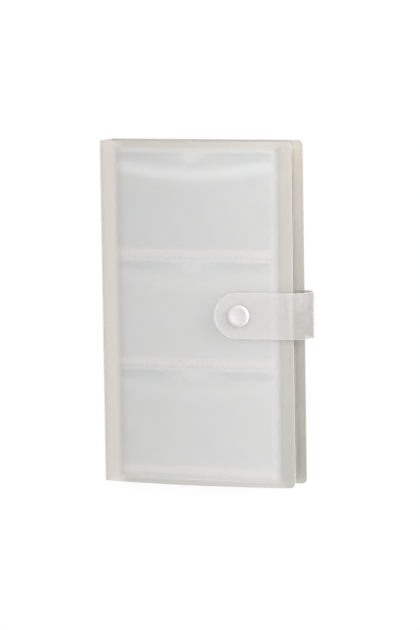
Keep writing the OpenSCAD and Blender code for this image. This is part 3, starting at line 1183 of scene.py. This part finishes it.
# %% Tongue of the strap
tongue_start = on_bend(FLEX_COUNT)
tongue_tilt = math.pi - FLEX_COUNT * FLEX_TURN
tip_x = tongue_start.x - corners("strap_tongue")[0].x
tongue_length = (tip_x - STRAP_T / 2 * math.sin(tongue_tilt)) / math.cos(tongue_tilt)
tongue_outline = [(-RIM_R, STRAP_HALF), (-RIM_R, -STRAP_HALF)]
tongue_outline += arc(tongue_length - STRAP_HALF, 0, STRAP_HALF, -90, 90, 40)
tongue_turn = Matrix.Rotation(tongue_tilt, 4, "Y") @ Matrix.Rotation(math.pi, 4, "Z")
tongue = plate("strap_tongue_strip", tongue_outline, -STRAP_T / 2, STRAP_T / 2,
               Matrix.Translation(tongue_start) @ tongue_turn, lambda x: x < -TOUCH)
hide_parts("strap_tongue")
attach(tongue, "strap_tongue")
print(f"tongue {tongue_length / MM:.1f} mm long, tilted {math.degrees(tongue_tilt):.1f} degrees")

# %% [markdown]
# ## Press stud
# Four turned pieces make the stud: a cap riveted through the strap, the socket under it, and on the cover
# the post and its inner cap. Cylinders could be joined by Booleans, but a profile spun round the axis
# gives every step and round edge at once. The axis stands square to the bowed cover, so the spun mesh is
# turned into its place.

# %% Place of the stud
STUD_INSET = 30.1 * MM
stud_tilt = math.asin((FORE_X - STUD_INSET - ARC_X) / ARC_R)
outer_r = ARC_R + SHEET_T / 2
stud_foot = Vector((ARC_X + outer_r * math.sin(stud_tilt), 0, ARC_Z + outer_r * math.cos(stud_tilt)))
stud_basis = Matrix.Translation(stud_foot) @ Matrix.Rotation(stud_tilt, 4, "Y")
print(f"stud {stud_foot.z / MM:.1f} mm above the table, tilted {math.degrees(stud_tilt):.1f} degrees")

# %% Turned pieces
SPIN_STEPS = 72


def turned(name, profile, base, flip, body, node):
    """A profile of radii and heights, spun round the stud's axis with its foot at the height of base."""
    bm = bmesh.new()
    verts = [bm.verts.new((r, 0, z)) for r, z in profile]
    edges = [bm.edges.new(pair) for pair in zip(verts, verts[1:])]
    bmesh.ops.spin(bm, geom=verts + edges, cent=(0, 0, 0), axis=(0, 0, 1),
                   angle=2 * math.pi, steps=SPIN_STEPS)
    bmesh.ops.remove_doubles(bm, verts=bm.verts, dist=TOUCH)
    if flip:
        bmesh.ops.scale(bm, verts=bm.verts, vec=(1, 1, -1))
    obj = add_piece(name, bm, [stud_finish])
    obj.data.transform(stud_basis @ Matrix.Translation((0, 0, base)))
    obj.data.set_sharp_from_angle(angle=math.radians(35))
    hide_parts(node)
    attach(obj, body)


print("turned pieces have", SPIN_STEPS, "sides")

# %% [markdown]
# ## Two caps
# The cap that shows and the one inside the cover are the same moulding: a round edge, a shallow dish in the
# top and a shank below. The two could be drawn apart, but one profile with the shank's length as its only
# choice keeps them alike. The inner cap is turned over.

# %% Profile of a cap
CAP_R, CAP_H, CAP_EDGE = 6.2 * MM, 1.7 * MM, 1.1 * MM
DISH_R, DISH_H = 4.3 * MM, 0.25 * MM
SHANK_R = 1.75 * MM


def cap_profile(shank, steps=10):
    """From the middle of the dish over the round edge to the end of the shank."""
    dish_curve = (DISH_R ** 2 + DISH_H ** 2) / (2 * DISH_H)
    radii = [DISH_R * k / steps for k in range(steps + 1)]
    dish = [(r, CAP_H - DISH_H + dish_curve - math.sqrt(dish_curve ** 2 - r ** 2)) for r in radii]
    edge = arc(CAP_R - CAP_EDGE, CAP_H - CAP_EDGE, CAP_EDGE, 90, 0, steps)
    return dish + edge + [(CAP_R, 0), (SHANK_R, 0), (SHANK_R, -shank), (0, -shank)]


print(f"caps {2 * CAP_R / MM:.1f} mm across and {CAP_H / MM:.1f} mm high")

# %% Two caps
STACK_H = 3.0 * MM
FLANGE_H, NECK_H, HEAD_H = 0.6 * MM, 0.7 * MM, 0.7 * MM
WEB_H = 0.6 * MM
SHANK_END = 0.2 * MM
SEAT_ROOM = 0.03 * MM
cap_shank = STRAP_T + WEB_H + SHANK_END
turned("stud_cap", cap_profile(cap_shank), STACK_H + STRAP_T, False, "strap_tongue", "snap_cap")
bow_in = ARC_R - SHEET_T / 2
seat_gap = bow_in - math.sqrt(bow_in ** 2 - CAP_R ** 2) + SEAT_ROOM
rivet_shank = seat_gap + SHEET_T + FLANGE_H + NECK_H + HEAD_H
turned("stud_inner_cap", cap_profile(rivet_shank), -SHEET_T - seat_gap, True, "front_cover", "snap_rivet")
print(f"shanks of {cap_shank / MM:.2f} and {rivet_shank / MM:.2f} mm")

# %% [markdown]
# ## Socket and post
# The post's head sits under the lip of the socket, which is what holds the strap closed. Nothing of this
# shows while the book is shut, but it does when the strap opens. A plain ring and a pin would pass from
# afar. The true profiles take only a few points more, so both are spun from them.

# %% Socket and post
SOCKET_R, HEAD_R = 5.3 * MM, 2.8 * MM
LIP_R, LIP_H, CUP_R = 2.62 * MM, 0.45 * MM, 2.95 * MM
FOOT_GAP, HOLE_ROOM, NECK_IN = 0.1 * MM, 0.1 * MM, 0.35 * MM
hole_r = SHANK_R + HOLE_ROOM
foot = FLANGE_H + FOOT_GAP
lip_top, web_low = foot + LIP_H, STACK_H - WEB_H
socket_profile = [(LIP_R, foot), (SOCKET_R, foot), (SOCKET_R, STACK_H),
                  (hole_r, STACK_H), (hole_r, web_low), (CUP_R, web_low),
                  (CUP_R, lip_top), (LIP_R, lip_top), (LIP_R, foot)]
turned("stud_socket", socket_profile, 0, False, "strap_tongue", "snap_socket")
neck_r, head_z = HEAD_R - NECK_IN, FLANGE_H + NECK_H
head_top = head_z + HEAD_H
post_profile = [(hole_r, 0), (SOCKET_R, 0), (SOCKET_R, FLANGE_H),
                (neck_r, FLANGE_H), (neck_r, head_z), (HEAD_R, head_z),
                (HEAD_R, head_top), (hole_r, head_top), (hole_r, 0)]
turned("stud_post", post_profile, 0, False, "front_cover", "snap_stud")
print(f"the head is {(HEAD_R - LIP_R) / MM:.2f} mm wider than the lip all round")

# %% [markdown]
# ## Floor
# The photograph has a plain white ground. More light would bleach the floor to white, but it would bleach
# the book too. So the floor glows white to rays that see it directly, and keeps a little of its own shading
# for a faint shadow.

# %% Floor
FLOOR_SIZE = 6.0
FLOOR_GREY = (0.92, 0.92, 0.92)
FLOOR_GLOW = 0.92
FLOOR_DROP = 0.05 * MM


def seen_directly(tree):
    """1 for rays that see the ground, from the camera, in a reflection or through glass, and 0 for light."""
    rays = added(tree, "ShaderNodeLightPath", {})
    seen = sum_of(tree, "MAXIMUM", rays["Is Camera Ray"], rays["Is Glossy Ray"])
    return sum_of(tree, "MAXIMUM", seen, rays["Is Transmission Ray"])


def white_floor():
    mat, tree, shader = finish("white_floor")
    coat(tree, shader, FLOOR_GREY)
    shader.inputs["Roughness"].default_value = 0.9
    shader.inputs["Specular IOR Level"].default_value = 0.1
    glow = added(tree, "ShaderNodeEmission", {"Strength": 1.0})["Emission"]
    share = sum_of(tree, "MULTIPLY", seen_directly(tree), FLOOR_GLOW)
    both = added(tree, "ShaderNodeMixShader", {"Fac": share, 1: shader.outputs["BSDF"], 2: glow})
    feed(tree, both["Shader"], tree.nodes["Material Output"].inputs["Surface"])
    return mat


floor_grid = bmesh.new()
bmesh.ops.create_grid(floor_grid, x_segments=1, y_segments=1, size=FLOOR_SIZE / 2)
floor = add_piece("floor", floor_grid, [white_floor()], smooth=False)
floor.data.transform(Matrix.Translation((0, 0, -FLOOR_DROP)))
print("floor", FLOOR_SIZE, "m across")

# %% [markdown]
# ## Light
# The light in the photograph is even and soft. A bright sky alone would light the book flatly. A pale world
# with a large lamp overhead keeps the bow of the cover readable, and a second lamp from the fore side and
# the head reaches in between the covers to the ends of the leaves.

# %% World
WORLD_LIGHT = 0.6
world = bpy.data.worlds.new("studio")
bpy.context.scene.world = world
world.use_nodes = True
sky = world.node_tree.nodes["Background"]
sky.inputs["Color"].default_value = (1, 1, 1, 1)
sky_glow = ranged(world.node_tree, seen_directly(world.node_tree), 0, 1, WORLD_LIGHT, 1)
feed(world.node_tree, sky_glow, sky.inputs["Strength"])
print("world of strength", WORLD_LIGHT, "for lighting and 1 where it is seen")


# %% Lamps
def soft_lamp(name, place, size, power):
    """A round area lamp that looks at the book."""
    data = bpy.data.lights.new(name, "AREA")
    data.shape = "DISK"
    data.size = size
    data.energy = power
    lamp = bpy.data.objects.new(name, data)
    lamp.location = place
    lamp.rotation_euler = (-Vector(place)).to_track_quat("-Z", "Y").to_euler()
    bpy.context.collection.objects.link(lamp)
    return lamp


key = soft_lamp("key", place=(0.2, 0.14, 1.4), size=0.9, power=10.8)
fill = soft_lamp("fill", place=(1.15, 0.4, 0.55), size=0.8, power=10)
bpy.context.scene.view_settings.view_transform = "Standard"
print(f"lamps: {key.name} of {key.data.energy:.1f} W and {fill.name} of {fill.data.energy:.1f} W")

# %% [markdown]
# ## Finish
# The view layer is brought up to date at the end.

# %% Finish
bpy.context.view_layer.update()
